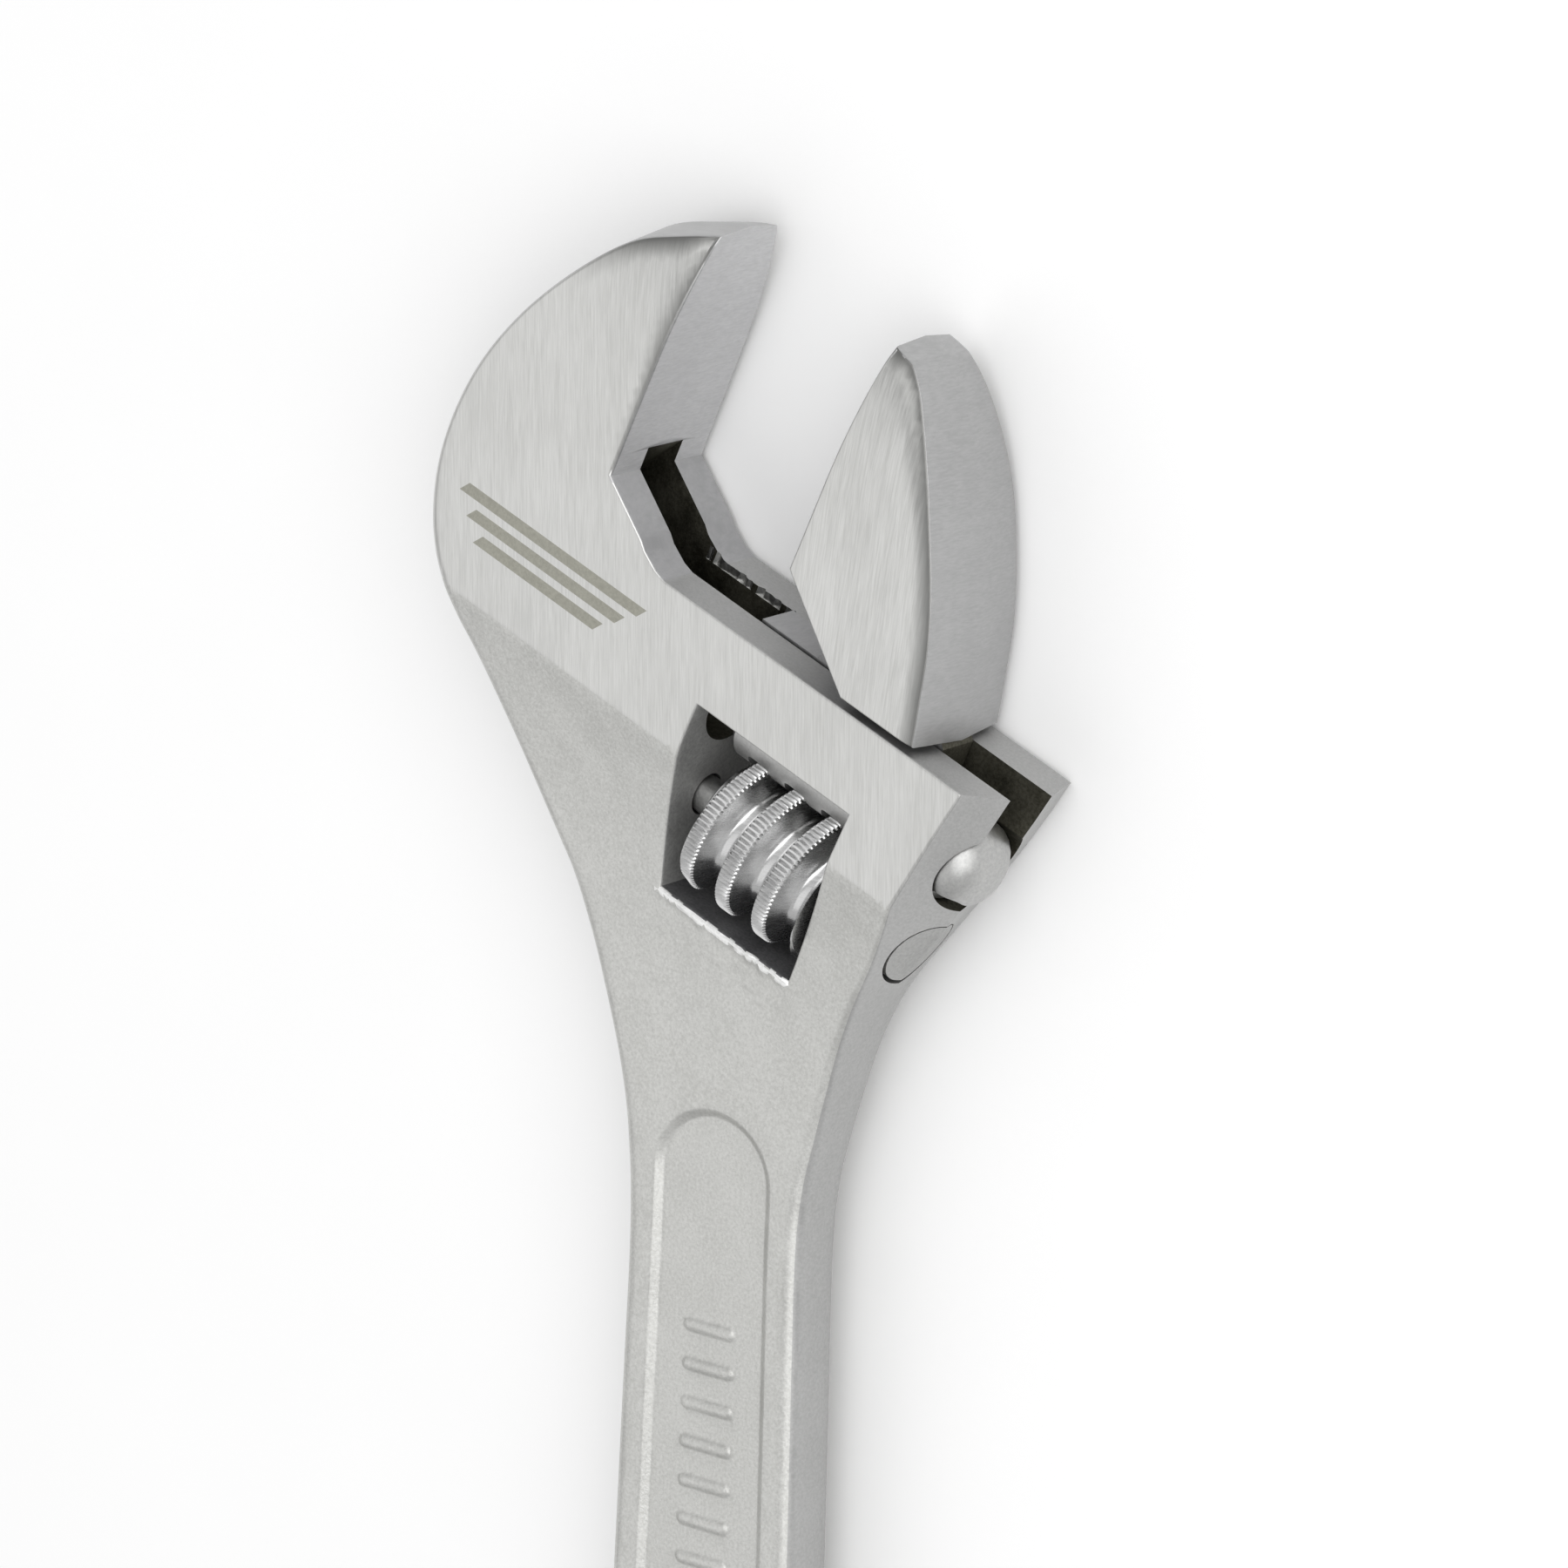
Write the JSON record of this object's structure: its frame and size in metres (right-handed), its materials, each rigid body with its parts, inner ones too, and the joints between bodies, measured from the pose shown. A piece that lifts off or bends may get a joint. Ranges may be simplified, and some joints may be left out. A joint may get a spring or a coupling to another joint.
{
  "type": "adjustable wrench",
  "caption": "Forged adjustable wrench with an angled head: a sliding lower jaw driven by a knurled worm, and an I-section handle with a hanging hole.",
  "frame": {"origin": "on the lower ground face of the head, below the handle's axis, 4.8 mm behind the edge that the movable jaw slides along", "axes": "handle along -X and jaws at +X, thickness along Z with the lower ground face at Z = 0; the movable jaw opens along (-0.3827, -0.9239, 0)"},
  "size_m": [0.2526, 0.0721, 0.0168],
  "materials": {
    "forged_chrome": "satin chrome plate, ground bright on the head's faces",
    "brushed_chrome": "brushed chrome plate",
    "bright_chrome": "bright chrome plate, knurled crests",
    "pin_steel": "plated steel, ground flush with the body",
    "spring_steel": "dark drawn wire"
  },
  "bodies": {
    "wrench_body": {"body": "forged_chrome", "worm_pin": "pin_steel", "worm_spring": "spring_steel"},
    "movable_jaw": {"movable_jaw": "brushed_chrome"},
    "worm": {"worm": "bright_chrome"}
  },
  "joints": [
    {"name": "jaw_slide", "type": "slide", "parent": "wrench_body", "child": "movable_jaw", "axis": [-0.3827, -0.9239, 0], "range_m": [-0.02285, 0.0071]},
    {"name": "worm_spin", "type": "hinge", "parent": "wrench_body", "child": "worm", "pos_m": [-0.02021, -0.00517, 0.0078], "axis": [-0.3827, -0.9239, 0], "range_deg": [-1650, 515]}
  ],
  "couplings": [
    {"joint": "worm_spin", "follows": "jaw_slide", "rad_per_m": 1256.6}
  ]
}
